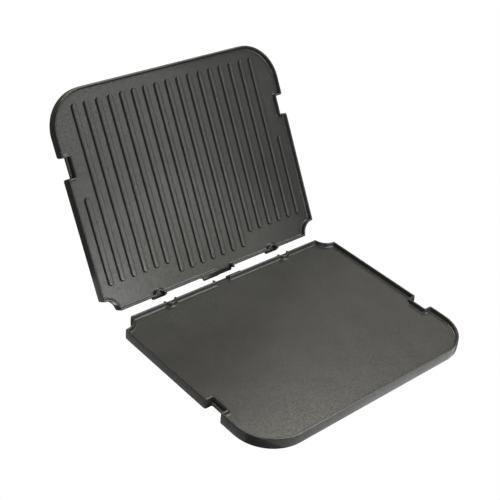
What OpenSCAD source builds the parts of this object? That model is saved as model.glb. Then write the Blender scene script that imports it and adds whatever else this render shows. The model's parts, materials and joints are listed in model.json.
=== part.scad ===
// Pair of removable cooking plates of a panini press, in the open position.
// Both plates are the same reversible casting: a flat griddle face on one side and
// a ribbed grill face on the other. X runs along the front edge, the rear is +Y and
// Z is up. The origin is the middle of the lower plate's front rim, on its rest plane.

/* [Plate] */
// Width of a plate, side to side
plate_w = 300; // [280:1:330]
// Depth of a plate, rear edge to front edge
plate_d = 236.4; // [225:0.1:260]
// Height of a plate over both rims
plate_t = 12.6; // [12.6:0.1:15]
// Width of the rim's flat crest
rim_w = 2.4; // [2:0.1:3.2]
// Depth of each cooking face below its rim's crest
tray_h = 4.8; // [4.2:0.1:4.8]
// Radius of the two front corners
front_r = 44.8; // [30:0.1:55]
// Radius of the scooped rear corners
scoop_r = 15; // [11:0.5:18]
// Straight part of a scooped corner, where it runs out to the side
scoop_run = 1.5; // [0.5:0.1:4]

/* [Latch notches] */
// Distance from the rear edge to the latch notch in each side
notch_from = 148.4; // [135:0.1:160]
// Length of the latch notch along the side
notch_len = 21.8; // [16:0.1:24]
// How far the rim steps in at the latch notch
notch_in = 9; // [7:0.5:11]
// Width of the ledge that the latch holds
ledge_w = 3.3; // [2:0.1:4]
// Radius of the upright edges at each end of a notch
edge_r = 2; // [1:0.1:2.5]

/* [Ribs] */
// Number of ribs across the grill face, an odd number
rib_n = 19; // [15:2:19]
// Distance between neighbouring ribs
rib_pitch = 14.85; // [13.5:0.05:15]
// Width of a rib
rib_w = 6.2; // [4:0.1:7]
// Height of a rib above the grill face
rib_h = 2.2; // [1.8:0.1:3.5]
// Number of ribs in the middle that reach further back, an odd number
rib_long_n = 7; // [5:2:9]
// Distance from the rear edge to the rear end of the middle ribs
rib_rear_long = 14.7; // [13:0.1:18]
// Distance from the rear edge to the rear end of the other ribs
rib_rear = 28.7; // [24:0.1:34]
// Distance from the rear edge to the front end of the ribs
rib_front = 220.6; // [205:0.1:221]
// Distance from the rear edge to the front end of the two outermost ribs
rib_front_short = 124.4; // [100:0.1:130]

/* [Rear edge] */
// Distance of each half-round pocket from the middle of the rear edge
pocket_x = 81.3; // [70:0.1:90]
// Radius of the half-round pockets
pocket_r = 5.95; // [5:0.05:7]
// Distance of a pocket's centre behind the rear edge
pocket_back = 2.1; // [1.5:0.1:2.5]
// How far the ears beside a pocket stand out behind the rear edge
ear_out = 1.9; // [1.7:0.1:2.5]
// Width of an ear beyond its pocket's side
ear_w = 2.3; // [2:0.1:3]
// Width of the boss at mid-height under each pocket
boss_w = 17.6; // [17:0.1:20]
// How far a pocket's boss stands out behind the rear edge
boss_out = 3.5; // [2.7:0.1:3.6]
// Width of each drain spout, from the middle of the rear edge
spout_w = 19.5; // [15:0.5:24]
// How far the drain tongue stands out behind the rear edge
tongue_out = 5.1; // [4:0.1:6]
// How far a spout's floor falls towards its lip
spout_fall = 1.3; // [0.5:0.1:1.4]
// Thickness of a spout at its lip
lip_t = 2.8; // [2:0.1:2.8]

/* [Press] */
// Angle between the plates when the press is open
open_angle = 119.4; // [90:0.1:120]
// Gap between the facing rims when the press is closed
closed_gap = 1; // [0.5:0.1:3]
// Distance of the press's hinge line behind the lower plate
hinge_back = 6.6; // [6.5:0.1:12]
// Height of the press's hinge line above the rest plane
hinge_z = 6.6; // [6.5:0.05:8]

/* [Hidden] */
$fn = 96;
eps = 0.01;
web_t = plate_t - 2 * tray_h;
side_x = plate_w / 2;
rear_y = plate_d - rim_w / 2;
ear_r = rim_w / 2;
notch_to = notch_from + notch_len;
plate_colour = [0.23, 0.23, 0.22];

// A quarter-round cutter for the corner at the origin, with its solid side towards +X +Y
module corner_cutter(r) {
    difference() {
        translate([-eps, -eps]) square(r + eps);
        translate([r, r]) circle(r);
    }
}

// The plate's plan, drawn inset from its outer wall: X across, Y from the rear edge forwards
module plan(inset) {
    difference() {
        union() {
            translate([-side_x + inset, inset])
                square([plate_w - 2 * inset, plate_d - front_r - inset]);
            translate([-side_x + front_r, inset])
                square([plate_w - 2 * front_r, plate_d - 2 * inset]);
            for (s = [-1, 1])
                translate([s * (side_x - front_r), plate_d - front_r]) circle(front_r - inset);
        }
        for (s = [-1, 1]) mirror([s > 0 ? 0 : 1, 0]) translate([side_x - scoop_run, 0]) {
            circle(scoop_r + inset);
            square([scoop_run + eps, scoop_r + inset]);
        }
    }
}

// The openings of the two latch notches, cut in from the sides to the given depth
module notches(depth, grow) {
    for (s = [-1, 1]) mirror([s > 0 ? 0 : 1, 0])
        translate([side_x - depth - grow, notch_from - grow])
            square([depth + grow + eps, notch_len + 2 * grow]);
}

// The quarter-round upright edges where a notch meets the side wall
module notch_edges() {
    for (s = [-1, 1]) mirror([s > 0 ? 0 : 1, 0]) {
        translate([side_x, notch_from]) rotate(180) corner_cutter(edge_r);
        translate([side_x, notch_to]) rotate(90) corner_cutter(edge_r);
    }
}

// The two half-round pockets in the rear edge, grown by the given amount
module pockets(grow) {
    for (s = [-1, 1]) translate([s * pocket_x, -pocket_back]) circle(pocket_r + grow);
}

// A block behind the rear edge at each pocket, rounded on the outside, in plan
module rear_blocks(width, out) {
    half = width / 2;
    for (s = [-1, 1]) translate([s * pocket_x, 0]) {
        for (e = [-1, 1]) translate([e * (half - ear_r), ear_r - out]) circle(ear_r);
        translate([ear_r - half, -out]) square([width - 2 * ear_r, out + eps]);
        translate([-half, ear_r - out]) square([width, out - ear_r + eps]);
    }
}

// Outer boundary of the walls: notches stepped in, and pockets cut out between their ears
module wall_outer() {
    difference() {
        union() {
            plan(0);
            rear_blocks(2 * (pocket_r + ear_w), ear_out);
        }
        notches(notch_in, 0);
        notch_edges();
        pockets(0);
    }
}

// Inner boundary of the walls, which is the edge of a cooking face
module wall_inner() {
    difference() {
        plan(rim_w);
        notches(notch_in, rim_w);
        pockets(rim_w);
    }
}

// Plan of the web between the two faces, with the latch ledges and the pockets' bosses
module web_plan() {
    difference() {
        plan(0);
        notches(notch_in - ledge_w, 0);
        notch_edges();
    }
    rear_blocks(boss_w, boss_out);
}

// One rib as a bar with half-round ends, in plan
module rib(x, from, to) {
    translate([x - rib_w / 2, from + rib_w / 2]) square([rib_w, to - from - rib_w]);
    for (y = [from + rib_w / 2, to - rib_w / 2]) translate([x, y]) circle(rib_w / 2);
}

// All the ribs in plan: the middle ones reach further back, the outermost stop at the notches
module ribs() {
    last = (rib_n - 1) / 2;
    for (i = [-last:last])
        rib(i * rib_pitch,
            abs(i) <= (rib_long_n - 1) / 2 ? rib_rear_long : rib_rear,
            abs(i) == last ? rib_front_short : rib_front);
}

// Turns a shape over about the plate's front-to-rear middle line, so the other face is up
module turned_over() {
    translate([0, 0, plate_t]) rotate([0, 180, 0]) children();
}

// One half of the drain tongue: a spout on the upper face, its thick underside below
module spout() {
    top_z = tray_h + web_t;
    lip_z = top_z - spout_fall;
    rotate([90, 0, 90]) linear_extrude(spout_w + ear_r)
        polygon([[rim_w, top_z], [0, top_z], [-tongue_out, lip_z],
                 [-tongue_out, lip_z - lip_t], [rim_w, lip_z - lip_t]]);
    translate([spout_w, 0, lip_z - lip_t]) linear_extrude(plate_t - lip_z + lip_t) {
        translate([ear_r, ear_r - ear_out]) circle(ear_r);
        translate([0, ear_r - ear_out]) square([rim_w, ear_out]);
    }
}

// Opening in the rim above a spout
module spout_gap() {
    translate([0, -tongue_out, tray_h + web_t])
        cube([spout_w, tongue_out + rim_w + eps, tray_h + eps]);
}

// One reversible casting: rear edge along X at Y 0, front towards +Y, griddle face up
module casting() {
    difference() {
        union() {
            linear_extrude(plate_t) difference() {
                wall_outer();
                wall_inner();
            }
            translate([0, 0, tray_h]) linear_extrude(web_t) web_plan();
            translate([0, 0, tray_h - rib_h]) linear_extrude(rib_h + eps) ribs();
            spout();
            turned_over() spout();
        }
        spout_gap();
        turned_over() spout_gap();
    }
}

// A casting lying griddle face up, rear edge towards +Y, in its place in the closed press
module placed_casting() {
    translate([0, rear_y, 0]) rotate(180) casting();
}

// The plate that lies in the press's base, griddle face up
module lower_plate() {
    color(plate_colour) placed_casting();
}

// The plate in the press's lid, grill face towards the lower plate when closed
module upper_plate() {
    hinge_y = rear_y + hinge_back;
    color(plate_colour)
        translate([0, hinge_y, hinge_z]) rotate([-open_angle, 0, 0])
            translate([0, -hinge_y, plate_t + closed_gap - hinge_z]) placed_casting();
}

lower_plate();
upper_plate();
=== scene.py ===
"""Looks for a pair of reversible panini press plates: one non-stick casting, modelled once
and placed twice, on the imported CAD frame. Lengths are in millimetres until place() turns
them into metres; a plate's own coordinates are x across, v from the rear edge forwards, z up
from the ribbed face's rim, with the flat griddle face on top."""

import json
import math

import bmesh
import bpy
import numpy as np
from mathutils import Matrix, Vector


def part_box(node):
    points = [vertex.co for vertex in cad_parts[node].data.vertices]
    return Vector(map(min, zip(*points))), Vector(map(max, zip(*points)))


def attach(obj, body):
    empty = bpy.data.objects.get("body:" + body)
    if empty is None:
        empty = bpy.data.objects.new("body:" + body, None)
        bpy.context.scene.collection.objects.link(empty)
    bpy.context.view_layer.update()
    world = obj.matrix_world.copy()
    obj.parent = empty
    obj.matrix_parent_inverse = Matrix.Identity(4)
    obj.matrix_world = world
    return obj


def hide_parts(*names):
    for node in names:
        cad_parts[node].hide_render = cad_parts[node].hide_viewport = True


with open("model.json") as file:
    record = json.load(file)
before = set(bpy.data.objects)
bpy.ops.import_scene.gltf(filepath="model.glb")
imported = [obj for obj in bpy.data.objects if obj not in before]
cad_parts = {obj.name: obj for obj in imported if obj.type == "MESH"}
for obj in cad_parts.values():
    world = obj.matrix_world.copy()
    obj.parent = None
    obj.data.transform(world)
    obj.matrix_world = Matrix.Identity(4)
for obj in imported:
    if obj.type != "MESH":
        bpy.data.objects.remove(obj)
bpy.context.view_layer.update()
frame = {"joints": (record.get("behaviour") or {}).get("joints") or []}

MM = 0.001

# ---- driving dimensions of the casting, from the CAD ------------------------------------
PLATE_W, PLATE_D, PLATE_T = 300.0, 236.4, 12.6
RIM_W, TRAY_H = 2.4, 4.8
WEB_LOW, WEB_HIGH = TRAY_H, PLATE_T - TRAY_H
SIDE, TOP = PLATE_W / 2, PLATE_T / 2
TRAY = WEB_HIGH - TOP  # height of a cooking face above the plate's middle
FRONT_R = 44.8
SCOOP_R, SCOOP_RUN = 15.0, 1.5
NOTCH_FROM, NOTCH_TO, NOTCH_IN = 148.4, 170.2, 9.0
LEDGE_W = 3.3
POCKET_X, POCKET_R, POCKET_BACK = 81.3, 5.95, 2.1
SPOUT_W, TONGUE_OUT, SPOUT_FALL, LIP_T = 19.5, 5.1, 1.3, 2.8
RIB_N, RIB_PITCH, RIB_W, RIB_H = 19, 14.85, 6.2, 2.2
RIB_LONG_N = 7
RIB_REAR_LONG, RIB_REAR, RIB_FRONT, RIB_FRONT_SHORT = 14.7, 28.7, 220.6, 124.4
CLOSED_GAP = 1.0
# a hair less than in the CAD, so that the roundings stay inside it
EAR_W, BOSS_W, BOSS_OUT = 2.26, 17.56, 3.48

# ---- roundings that the casting has and the CAD leaves sharp ----------------------------
OUTER_R = 1.0  # outer edge of a rim's crest
INNER_R = 0.8  # inner edge of a rim's crest
DRAFT = 0.2  # lean of the walls towards their crests
FILLET_R = 1.7  # between a rim and its cooking face
EAR_R = 1.2  # upright edges of the ears and bosses
EAR_ROOT_R = 0.5  # where an ear leaves the rear edge
SCOOP_EDGE_R = 1.5  # both ends of a scooped corner
NOTCH_EDGE_R = 2.5  # upright edges of a notch at the side
NOTCH_ROOT_R = 1.2  # inner corners of a notch
TRAY_EDGE_R = 0.8  # the least that a tray's outline is rounded by
RIB_FOOT_R, RIB_TOP_R, RIB_DRAFT = 0.5, 0.8, 0.15
BLOCK_R = 0.5  # level edges of the ledges and bosses
TONGUE_R = 0.6  # ends of the drain tongue and its ears
SLIGHT_R = 0.1  # corners that lie buried in the rim
RIM_RUN, RIB_RUN = 0.5, 0.4  # flat strips that keep the fillets' shading off a tray
ROUND_STEPS = 5
SHARP_ANGLE = math.radians(38)


# ---- plan outlines that can be drawn inset by any amount --------------------------------
class Line:
    """A straight wall: the solid lies where normal . p > offset."""

    def __init__(self, nx, ny, offset, steps=1, at=None):
        self.n = np.array([nx, ny], float)
        self.offset, self.steps, self.at = offset, steps, at

    def foot(self, p, d):
        return p + (self.offset + d - self.n @ p) * self.n

    def between(self, p, q):
        if self.at:
            return [np.array([x, p[1]]) for x in self.at]
        return [p + (q - p) * i / self.steps for i in range(1, self.steps)]


class Arc:
    """A round wall: side is +1 where the solid is outside the circle, -1 where inside."""

    def __init__(self, cx, cy, r, side, steps):
        self.c, self.r, self.side, self.steps = np.array([cx, cy], float), r, side, steps

    def radius(self, d):
        return self.r + self.side * d

    def foot(self, p, d):
        away = p - self.c
        return self.c + away / np.linalg.norm(away) * self.radius(d)

    def between(self, p, q):
        return sweep(self.c, p, q, self.steps)


def sweep(centre, p, q, steps):
    """The points strictly between p and q on the short way round centre."""
    a0 = math.atan2(*(p - centre)[::-1])
    turn = (math.atan2(*(q - centre)[::-1]) - a0 + math.pi) % (2 * math.pi) - math.pi
    r0, r1 = np.linalg.norm(p - centre), np.linalg.norm(q - centre)
    out = []
    for i in range(1, steps):
        t = i / steps
        r = r0 + (r1 - r0) * t
        out.append(centre + r * np.array([math.cos(a0 + turn * t), math.sin(a0 + turn * t)]))
    return out


def meet(a, b, d, near):
    """Where walls a and b, both inset by d, cross: the crossing closest to near."""
    if isinstance(a, Line) and isinstance(b, Line):
        return np.linalg.solve(np.array([a.n, b.n]), [a.offset + d, b.offset + d])
    if isinstance(a, Arc):
        a, b = b, a
    foot = a.foot(b.c, d)
    off = b.radius(d) ** 2 - np.sum((foot - b.c) ** 2)
    along = np.array([-a.n[1], a.n[0]]) * math.sqrt(max(off, 0.0))
    return min((foot + along, foot - along), key=lambda p: np.linalg.norm(p - near))


class Corner:
    """The rounding between two walls: kind is +1 for a convex corner, -1 for a concave one.
    A convex radius shrinks as the outline is inset, down to tight."""

    def __init__(self, near, r, kind=1, steps=4, tight=0.15):
        self.near, self.r, self.kind = np.array(near, float), r, kind
        self.steps, self.tight = steps, tight

    def points(self, a, b, d):
        r = max(self.r - self.kind * d, self.tight)
        centre = meet(a, b, d + self.kind * r, self.near)
        p, q = a.foot(centre, d), b.foot(centre, d)
        return [p] + sweep(centre, p, q, self.steps) + [q]


def trace(walls, corners, d, start=None, end=None):
    """Points along the walls inset by d: open from start to end, or a closed loop."""
    joined = [c.points(walls[i], walls[(i + 1) % len(walls)], d) for i, c in enumerate(corners)]
    out, last = [], joined[-1][-1] if start is None else walls[0].foot(start, d)
    for i, wall in enumerate(walls):
        stop = joined[i] if i < len(joined) else [wall.foot(end, d)]
        out += [last] + wall.between(last, stop[0]) + stop[:-1]
        last = stop[-1]
    return out if start is None else out + [last]


# where the rear edge has points: close together beside the middle and the spouts' outer ends
CREST_STEPS = [0.03, 0.08, 0.2, 0.4, 0.7, 1.0, 3.0]
GAP_STATIONS = CREST_STEPS + [10.0, 17.0, SPOUT_W - CREST_STEPS[0]]
GAP_STATIONS += [SPOUT_W + s for s in CREST_STEPS] + [45.0]


def half_walls(with_ears):
    """Walls and corners of the right half, from the middle of the rear to the middle of the
    front. With ears it is the outer outline; without, the one that the trays follow.
    Both have the same number of points, so that one can be bridged to the other."""
    rear = Line(0, 1, 0, at=GAP_STATIONS)
    pocket = Arc(POCKET_X, -POCKET_BACK, POCKET_R, 1, 12)
    beside = POCKET_R + 1  # about where the rear edge runs into the pocket
    if with_ears:
        reach, tight = POCKET_R + EAR_W, 0.15
        walls = [rear, Line(1, 0, POCKET_X - reach), pocket, Line(-1, 0, -POCKET_X - reach)]
        corners = [
            Corner((POCKET_X - reach, 0), EAR_ROOT_R, -1),
            Corner((POCKET_X - beside, 0), EAR_R, steps=8),
            Corner((POCKET_X + beside, 0), EAR_R, steps=8),
            Corner((POCKET_X + reach, 0), EAR_ROOT_R, -1),
        ]
    else:
        tight = TRAY_EDGE_R
        walls = [rear, pocket]
        corners = [
            Corner((POCKET_X - beside, RIM_W), TRAY_EDGE_R, steps=13, tight=tight),
            Corner((POCKET_X + beside, RIM_W), TRAY_EDGE_R, steps=13, tight=tight),
        ]
    walls += [
        Line(0, 1, 0, steps=4),
        Arc(SIDE - SCOOP_RUN, 0, SCOOP_R, 1, 14),
        Line(-1, 0, -SIDE, steps=6),
        Line(0, -1, -NOTCH_FROM, steps=2),
        Line(-1, 0, -SIDE + NOTCH_IN, steps=4),
        Line(0, 1, NOTCH_TO, steps=2),
        Line(-1, 0, -SIDE, steps=2),
        Line(0, -1, -PLATE_D, steps=8),
    ]
    corners += [
        Corner((SIDE - SCOOP_RUN - SCOOP_R, 0), SCOOP_EDGE_R, steps=5, tight=tight),
        Corner((SIDE, SCOOP_R), SCOOP_EDGE_R, steps=5, tight=tight),
        Corner((SIDE, NOTCH_FROM), NOTCH_EDGE_R, steps=5, tight=tight),
        Corner((SIDE - NOTCH_IN, NOTCH_FROM), NOTCH_ROOT_R, -1, steps=5),
        Corner((SIDE - NOTCH_IN, NOTCH_TO), NOTCH_ROOT_R, -1, steps=5),
        Corner((SIDE, NOTCH_TO), NOTCH_EDGE_R, steps=5, tight=tight),
        Corner((SIDE, PLATE_D), FRONT_R, steps=28),
    ]
    return walls, corners


def whole(walls_corners, d):
    """The closed outline inset by d: the right half and its mirror image."""
    right = trace(*walls_corners, d, np.array([0, 0]), np.array([0, PLATE_D]))
    left = [np.array([-p[0], p[1]]) for p in right[-2:0:-1]]
    return right + left


# ---- profile of the rim, as (outline, inset, height above the plate's middle) -----------
def quarter(radius, steps):
    """(inwards, up) pairs round a quarter circle, from its side to its top."""
    return [
        (radius * (1 - math.cos(a)), radius * math.sin(a))
        for a in np.linspace(0, math.pi / 2, steps + 1)
    ]


def rim_profile():
    """Half of a rim's cross-section: up the outer wall, over the crest, down the inner wall
    and round the fillet, ending with a short flat run on the tray."""
    outer, inner, fillet = (quarter(r, ROUND_STEPS) for r in (OUTER_R, INNER_R, FILLET_R))
    foot = RIM_W + DRAFT
    out = [("outer", 0.0, 0.0), ("outer", DRAFT * 0.4, TRAY)]
    out += [("outer", DRAFT + i, TOP - OUTER_R + u) for i, u in outer]
    out += [("tray", RIM_W - i, TOP - INNER_R + u) for i, u in inner[::-1]]
    out += [("tray", foot + i, TRAY + FILLET_R - u) for i, u in fillet]
    return out + [("tray", foot + FILLET_R + RIM_RUN, TRAY)]


def crest_limit(x):
    """Highest point of the griddle face's rim at x on the rear edge: none across the spout,
    and rounded where the rim ends at each side of it."""
    into = x if x > 0 else -SPOUT_W - x
    if into < CREST_STEPS[0] / 2:
        return TRAY
    return TOP - INNER_R + math.sqrt(max(INNER_R**2 - max(INNER_R - into, 0) ** 2, 0))


# ---- mesh building ----------------------------------------------------------------------
def add_ring(bm, points, z):
    """A closed ring of vertices; z is one height or a height for each point."""
    heights = z if hasattr(z, "__len__") else [z] * len(points)
    return [bm.verts.new((p[0], p[1], h)) for p, h in zip(points, heights)]


def bridge(bm, a, b):
    """A band of faces between two rings of the same length."""
    n = len(a)
    for i in range(n):
        j = (i + 1) % n
        bm.faces.new((a[i], a[j], b[j], b[i]))


def fill(bm, *rings):
    """Fills the flat area inside the first ring and outside the others."""
    edges = []
    for ring in rings:
        for i, v in enumerate(ring):
            w = ring[(i + 1) % len(ring)]
            edges.append(bm.edges.get((v, w)) or bm.edges.new((v, w)))
    bmesh.ops.triangle_fill(bm, use_beauty=True, edges=edges, normal=(0, 0, 1))


def add_stack(bm, outline, levels):
    """The rings of an outline at (inset, z) levels, bridged one to the next."""
    rings = [add_ring(bm, outline(d), z) for d, z in levels]
    for a, b in zip(rings, rings[1:]):
        bridge(bm, a, b)
    return rings


def add_shell(bm, outline, levels):
    """A closed solid from (inset, z) levels of an outline, capped at both ends."""
    rings = add_stack(bm, outline, levels)
    fill(bm, rings[0])
    fill(bm, rings[-1])


def rounded_levels(z0, z1, r):
    """Levels of a slab from z0 to z1 whose edges are rounded by r."""
    edge = quarter(r, 4)
    return [(i, z0 + r - u) for i, u in edge[::-1]] + [(i, z1 - r + u) for i, u in edge]


def polygon_outline(corners, radii):
    """An outline of straight walls through the corners, listed anticlockwise."""
    starts = [np.array(c, float) for c in corners]
    ends = starts[1:] + starts[:1]
    walls = []
    for p, q in zip(starts, ends):
        n = np.array([p[1] - q[1], q[0] - p[0]]) / np.linalg.norm(q - p)
        walls.append(Line(*n, n @ p))
    rounds = [Corner(q, r, tight=0.02) for q, r in zip(ends, radii[1:] + radii[:1])]
    return lambda d: trace(walls, rounds, d)


def rib_outline(x, rear, front):
    """A bar with full-round ends, centred on x."""
    def half_turn(v, r, start):
        angles = np.linspace(start, start + math.pi, 13)
        return [np.array([x + r * math.cos(a), v + r * math.sin(a)]) for a in angles]

    def draw(d):
        r = RIB_W / 2 - d
        front_end = half_turn(front - RIB_W / 2, r, 0)
        rear_end = half_turn(rear + RIB_W / 2, r, math.pi)
        return rear_end[-1:] + front_end + rear_end[:-1]

    return draw


def add_ribs(bm):
    """The ribs of the grill face, which looks down, and the rings where they meet it."""
    foot, top = quarter(RIB_FOOT_R, 3), quarter(RIB_TOP_R, 4)
    profile = [(-RIB_FOOT_R - RIB_RUN, 0)]
    profile += [(i - RIB_FOOT_R, RIB_FOOT_R - u) for i, u in foot[::-1]]
    profile += [(RIB_DRAFT + i, RIB_H - RIB_TOP_R + u) for i, u in top]
    profile += [(RIB_W / 2 - 0.02, RIB_H)]  # all but closed along the rib's middle line
    levels = [(d, WEB_LOW - h) for d, h in profile]
    feet, last, last_long = [], (RIB_N - 1) // 2, (RIB_LONG_N - 1) // 2
    for i in range(-last, last + 1):
        rear = RIB_REAR_LONG if abs(i) <= last_long else RIB_REAR
        front = RIB_FRONT_SHORT if abs(i) == last else RIB_FRONT
        rings = add_stack(bm, rib_outline(i * RIB_PITCH, rear, front), levels)
        fill(bm, rings[-1])
        feet.append(rings[0])
    return feet


def add_body(bm):
    """Both rims, the skirt and both trays as one closed surface."""
    outlines = {"outer": half_walls(True), "tray": half_walls(False)}
    rear_band = RIM_W + DRAFT + FILLET_R + 1  # the rear rim and its fillet lie within it
    rings = {1: [], -1: []}
    for up in (1, -1):
        for kind, inset, height in rim_profile():
            points = whole(outlines[kind], inset)
            z = []
            for x, v in points:
                h = min(height, crest_limit(up * x)) if v < rear_band else height
                z.append(TOP + up * h)
            rings[up].append(add_ring(bm, points, z))
        for a, b in zip(rings[up], rings[up][1:]):
            bridge(bm, a, b)
    bridge(bm, rings[1][0], rings[-1][0])
    fill(bm, rings[1][-1])
    fill(bm, rings[-1][-1], *add_ribs(bm))


def add_ledges(bm):
    """The ledges at mid-height in the notches, which the latches hold."""
    x0, x1 = SIDE - NOTCH_IN - NOTCH_ROOT_R, SIDE - NOTCH_IN + LEDGE_W
    v0, v1 = NOTCH_FROM - 1, NOTCH_TO + 1
    right = [(x0, v0), (x1, v0), (x1, v1), (x0, v1)]
    left = [(-x, v) for x, v in right[::-1]]
    for box in (left, right):
        outline = polygon_outline(box, [SLIGHT_R] * 4)
        add_shell(bm, outline, rounded_levels(WEB_LOW, WEB_HIGH, BLOCK_R))


def add_bosses(bm):
    """The bosses at mid-height that close the half-round pockets and stand out behind them."""
    half, inner = BOSS_W / 2, 0.6  # inner is how far a boss runs into the rim
    beside = POCKET_R + 0.65  # about where a boss meets its pocket
    for x in (-POCKET_X, POCKET_X):
        walls = [
            Line(0, 1, -BOSS_OUT, steps=4),
            Line(-1, 0, -x - half),
            Line(0, -1, -inner),
            Arc(x, -POCKET_BACK, POCKET_R + EAR_R, -1, 16),
            Line(0, -1, -inner),
            Line(1, 0, x - half),
        ]
        rounds = [
            Corner((x + half, -BOSS_OUT), EAR_R, tight=0.05),
            Corner((x + half, inner), SLIGHT_R, tight=0.05),
            Corner((x + beside, inner), SLIGHT_R, -1),
            Corner((x - beside, inner), SLIGHT_R, -1),
            Corner((x - half, inner), SLIGHT_R, tight=0.05),
            Corner((x - half, -BOSS_OUT), EAR_R, tight=0.05),
        ]
        levels = rounded_levels(WEB_LOW, WEB_HIGH, BLOCK_R)
        add_shell(bm, lambda d: trace(walls, rounds, d), levels)


def add_tongue(bm):
    """The drain tongue: each face's spout, whose thick underside shows on the other face,
    and the ear that ends the rim beside it."""
    lip_top, lip_low = WEB_HIGH - SPOUT_FALL, WEB_HIGH - SPOUT_FALL - LIP_T
    bend, floor_top = 0.3, WEB_HIGH - 0.02  # the floor tucks in just under the tray
    spout = polygon_outline(
        [(RIM_W, lip_low), (RIM_W, floor_top), (bend, floor_top),
         (-TONGUE_OUT, lip_top), (-TONGUE_OUT, lip_low)],
        [0.05, 0.05, 2.0, 0.8, 1.0],  # two buried corners, the bend and the lip's two edges
    )
    x0, x1 = -SPOUT_W - RIM_W, -SPOUT_W
    v0, v1, ear_r = -2.3, 1.3, 1.1
    ear = polygon_outline(
        [(x0, v0), (x1, v0), (x1, v1), (x0, v1)], [ear_r, ear_r, SLIGHT_R, SLIGHT_R]
    )
    ear_low, ear_high = lip_low + 0.2, PLATE_T - 0.015  # from inside the lip to the crest
    for up in (1, -1):
        new = bmesh.new()
        add_shell(new, spout, rounded_levels(-SPOUT_W - EAR_R, 0.1, TONGUE_R))
        # the spout was drawn as (v, z) and stacked along x
        new.transform(Matrix(((0, 0, 1, 0), (1, 0, 0, 0), (0, 1, 0, 0), (0, 0, 0, 1))))
        add_shell(new, ear, rounded_levels(ear_low, ear_high, TONGUE_R))
        if up < 0:
            new.transform(Matrix.Translation((0, 0, PLATE_T)) @ Matrix.Rotation(math.pi, 4, "Y"))
        add_all(bm, new)


def add_all(bm, other):
    """Moves everything in other into bm."""
    made = bpy.data.meshes.new("part")
    other.to_mesh(made)
    other.free()
    bm.from_mesh(made)
    bpy.data.meshes.remove(made)


def casting_mesh():
    """The whole casting in its own coordinates."""
    bm = bmesh.new()
    add_body(bm)
    add_ledges(bm)
    add_bosses(bm)
    add_tongue(bm)
    bmesh.ops.remove_doubles(bm, verts=bm.verts, dist=0.002)
    bmesh.ops.dissolve_degenerate(bm, edges=bm.edges, dist=0.001)
    return bm


# ---- coating ----------------------------------------------------------------------------
COAT_DARK, COAT_LIGHT = (0.034, 0.034, 0.033, 1), (0.041, 0.041, 0.040, 1)
COAT_ROUGHNESS = 0.20, 0.235
COAT_SPECULAR = 0.31, 0.69
MOTTLE_SCALE, SHEEN_SCALE, GRAIN_SCALE, PEBBLE_SCALE = 35, 60, 550, 750
PEBBLE_STRENGTH, PEBBLE_HEIGHT = 0.6, 0.0001
NOISE_RANGE = 0.3, 0.7  # where nearly all of a noise's values lie


def nonstick_material():
    """Charcoal non-stick coating: semi-matte, with a fine pebble and faint mottling."""
    mat = bpy.data.materials.new("nonstick")
    mat.use_nodes = True
    nodes, links = mat.node_tree.nodes, mat.node_tree.links
    shader = nodes["Principled BSDF"]
    coords = nodes.new("ShaderNodeTexCoord")

    def noise(scale, detail):
        n = nodes.new("ShaderNodeTexNoise")
        n.inputs["Scale"].default_value = scale
        n.inputs["Detail"].default_value = detail
        links.new(coords.outputs["Object"], n.inputs["Vector"])
        return n.outputs["Fac"]

    def ramp(value, low, high):
        r = nodes.new("ShaderNodeMapRange")
        links.new(value, r.inputs["Value"])
        r.inputs["From Min"].default_value, r.inputs["From Max"].default_value = NOISE_RANGE
        r.inputs["To Min"].default_value, r.inputs["To Max"].default_value = low, high
        return r.outputs["Result"]

    mix = nodes.new("ShaderNodeMix")
    mix.data_type = "RGBA"
    mix.inputs["A"].default_value = COAT_DARK
    mix.inputs["B"].default_value = COAT_LIGHT
    links.new(ramp(noise(MOTTLE_SCALE, 4), 0, 1), mix.inputs["Factor"])
    links.new(mix.outputs["Result"], shader.inputs["Base Color"])
    links.new(ramp(noise(SHEEN_SCALE, 3), *COAT_ROUGHNESS), shader.inputs["Roughness"])
    links.new(ramp(noise(GRAIN_SCALE, 2), *COAT_SPECULAR), shader.inputs["Specular IOR Level"])
    bump = nodes.new("ShaderNodeBump")
    bump.inputs["Strength"].default_value = PEBBLE_STRENGTH
    bump.inputs["Distance"].default_value = PEBBLE_HEIGHT
    links.new(noise(PEBBLE_SCALE, 2), bump.inputs["Height"])
    links.new(bump.outputs["Normal"], shader.inputs["Normal"])
    return mat


# ---- the two plates ---------------------------------------------------------------------
low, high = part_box("lower_plate")
REAR_Y = high.y / MM - TONGUE_OUT
hinge = frame["joints"][0]
HINGE = Vector(hinge["pos_m"]) / MM
OPEN = math.radians(hinge["range_deg"][1])

LAY = Matrix(((1, 0, 0, 0), (0, -1, 0, REAR_Y), (0, 0, 1, 0), (0, 0, 0, 1)))
TO_METRES = Matrix.Scale(MM, 4)
LIFT = Matrix.Translation((0, 0, PLATE_T + CLOSED_GAP))
SWING = Matrix.Translation(HINGE) @ Matrix.Rotation(-OPEN, 4, "X") @ Matrix.Translation(-HINGE)

nonstick = nonstick_material()


def place(name, body, node, where):
    """A casting laid griddle face up and then moved by where, in place of a CAD node."""
    bm = casting_mesh()
    bm.transform(TO_METRES @ where @ LAY)
    bmesh.ops.recalc_face_normals(bm, faces=bm.faces)
    mesh = bpy.data.meshes.new(name)
    bm.to_mesh(mesh)
    bm.free()
    for face in mesh.polygons:
        face.use_smooth = True
    mesh.set_sharp_from_angle(angle=SHARP_ANGLE)
    mesh.materials.append(nonstick)
    plate = bpy.data.objects.new(name, mesh)
    bpy.context.scene.collection.objects.link(plate)
    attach(plate, body)
    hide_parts(node)


place("lower_casting", "base", "lower_plate", Matrix.Identity(4))
place("upper_casting", "lid", "upper_plate", SWING @ LIFT)


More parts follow.
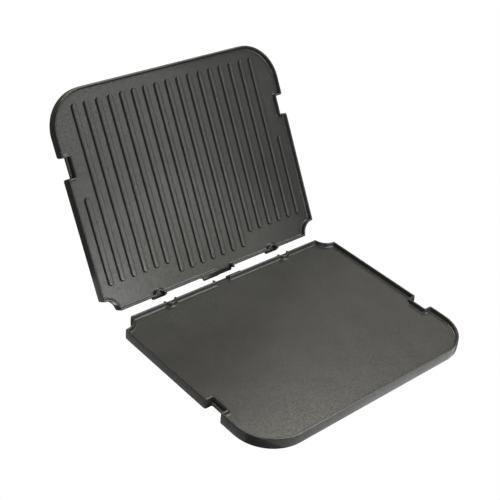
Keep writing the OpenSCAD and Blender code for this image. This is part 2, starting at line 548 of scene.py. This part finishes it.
# ---- floor and surround -----------------------------------------------------------------
def glow_material(name, left, right, rise):
    """A white glow that grows from left to right over the first part of a sheet's width."""
    mat = bpy.data.materials.new(name)
    mat.use_nodes = True
    nodes, links = mat.node_tree.nodes, mat.node_tree.links
    shader = nodes["Principled BSDF"]
    shader.inputs["Base Color"].default_value = (0, 0, 0, 1)
    shader.inputs["Specular IOR Level"].default_value = 0
    shader.inputs["Emission Color"].default_value = (1, 1, 1, 1)
    shader.inputs["Emission Strength"].default_value = right
    if left != right:
        across = nodes.new("ShaderNodeSeparateXYZ")
        links.new(nodes.new("ShaderNodeTexCoord").outputs["Object"], across.inputs["Vector"])
        glow = nodes.new("ShaderNodeMapRange")
        links.new(across.outputs["X"], glow.inputs["Value"])
        glow.inputs["From Min"].default_value = -0.5
        glow.inputs["From Max"].default_value = rise - 0.5
        glow.inputs["To Min"].default_value = left
        glow.inputs["To Max"].default_value = right
        links.new(glow.outputs["Result"], shader.inputs["Emission Strength"])
    return mat


def ground(name, x, y, drop, left, right, rise=1):
    """A sheet over the ranges x and y, just under the rest plane, glowing upwards."""
    bm = bmesh.new()
    bmesh.ops.create_grid(bm, x_segments=1, y_segments=1, size=0.5)
    mesh = bpy.data.meshes.new(name)
    bm.to_mesh(mesh)
    bm.free()
    mesh.materials.append(glow_material(name, left, right, rise))
    sheet = bpy.data.objects.new(name, mesh)
    sheet.location = (sum(x) / 2, sum(y) / 2, low.z - drop)
    sheet.scale = (x[1] - x[0], y[1] - y[0], 1)
    bpy.context.scene.collection.objects.link(sheet)
    return sheet


# the floor is what is seen; the two sheets light the lower plate's skirt from close by
floor = ground("floor", (-6, 6), (-6, 6), 0.0005, 1.0, 1.0)
floor.visible_diffuse = floor.visible_glossy = floor.visible_shadow = False
front_sheet = ground("front_sheet", (-0.2, 0.3), (-0.14, 0.0), 0.001, 0.2, 1.3, 0.38)
left_sheet = ground("left_sheet", (-0.28, -0.15), (0.03, 0.33), 0.001, 0.43, 0.43)
front_sheet.visible_camera = left_sheet.visible_camera = False

# the surround looks white but lights the plates only faintly
AMBIENT = 0.085
world = bpy.data.worlds.new("studio")
world.use_nodes = True
world_nodes, world_links = world.node_tree.nodes, world.node_tree.links
ray = world_nodes.new("ShaderNodeLightPath")
level = world_nodes.new("ShaderNodeMapRange")
level.inputs["To Min"].default_value = AMBIENT
world_links.new(ray.outputs["Is Camera Ray"], level.inputs["Value"])
world_links.new(level.outputs["Result"], world_nodes["Background"].inputs["Strength"])
world_nodes["Background"].inputs["Color"].default_value = (1, 1, 1, 1)
bpy.context.scene.world = world

# ---- lights -----------------------------------------------------------------------------
CENTRE = (0, 0.2, 0.05)
FRONT_MIDDLE = (0, 0.12, 0.02)
WHITE, CREAM, WARM = (1, 1, 0.98), (1, 0.98, 0.89), (1, 0.93, 0.68)


def softbox(name, at, look, size, power, colour=WHITE):
    """A round area light at a point, facing another point."""
    light = bpy.data.lights.new(name, "AREA")
    light.shape, light.size, light.energy, light.color = "DISK", size, power, colour
    obj = bpy.data.objects.new(name, light)
    obj.location = at
    obj.rotation_euler = (Vector(at) - Vector(look)).to_track_quat("Z", "Y").to_euler()
    bpy.context.scene.collection.objects.link(obj)


def dome(azimuth, elevation, distance=2.4):
    """A point round the press's middle; azimuth 0 is straight in front, 90 to the right."""
    a, e = math.radians(azimuth), math.radians(elevation)
    away = Vector((math.sin(a) * math.cos(e), -math.cos(a) * math.cos(e), math.sin(e)))
    return Vector(CENTRE) + distance * away


softbox("high_right", dome(60, 62), CENTRE, 1.5, 24.5)
softbox("high_rear_right", dome(120, 62), CENTRE, 1.5, 24.5, CREAM)
softbox("rear", dome(180, 35), CENTRE, 1.5, 32, WARM)
softbox("rear_low", dome(180, -75), CENTRE, 1.5, 11)
softbox("left", dome(-75, 30), CENTRE, 1.5, 4)
softbox("front_left_low", dome(-52, 7), CENTRE, 0.8, 7)
softbox("front_right", dome(45, 35), CENTRE, 1.5, 2.8)
softbox("upper_glow", (0.30, -0.385, 0.51), (-0.12, 0.34, 0.18), 0.5, 0.92)
softbox("lower_glow", (0.60, 0.443, 0.564), (0.04, 0.027, 0.008), 0.5, 0.35, CREAM)
softbox("front_low", (0.1, -0.5, 0.15), FRONT_MIDDLE, 0.4, 1.65)
softbox("front_low_right", (0.3, -0.3, 0.15), FRONT_MIDDLE, 0.4, 0.5, CREAM)

# ---- camera: direction, roll, distance, lens, shift and the point it is aimed at --------
AZ, EL, ROLL = math.radians(-45.142), math.radians(33.811), math.radians(6.559)
DISTANCE, LENS, SENSOR = 1.23861, 76.241, 36.0
SHIFT_X, SHIFT_Y = -0.0583, 0.0187
TARGET = Vector((0.07875, REAR_Y * MM + 0.00232, 0.00302))

back = Vector((math.sin(AZ) * math.cos(EL), -math.cos(AZ) * math.cos(EL), math.sin(EL)))
right = Vector((math.cos(AZ), math.sin(AZ), 0))
up = back.cross(right)
tilted_right = math.cos(ROLL) * right + math.sin(ROLL) * up
tilted_up = math.cos(ROLL) * up - math.sin(ROLL) * right
axes = Matrix((tilted_right, tilted_up, back)).transposed().to_4x4()

camera_data = bpy.data.cameras.new("camera")
camera_data.lens, camera_data.sensor_width = LENS, SENSOR
camera_data.shift_x, camera_data.shift_y = SHIFT_X, SHIFT_Y
camera = bpy.data.objects.new("camera", camera_data)
camera.matrix_world = Matrix.Translation(TARGET + back * DISTANCE) @ axes
bpy.context.scene.collection.objects.link(camera)
bpy.context.scene.camera = camera
bpy.context.scene.view_settings.view_transform = "Standard"
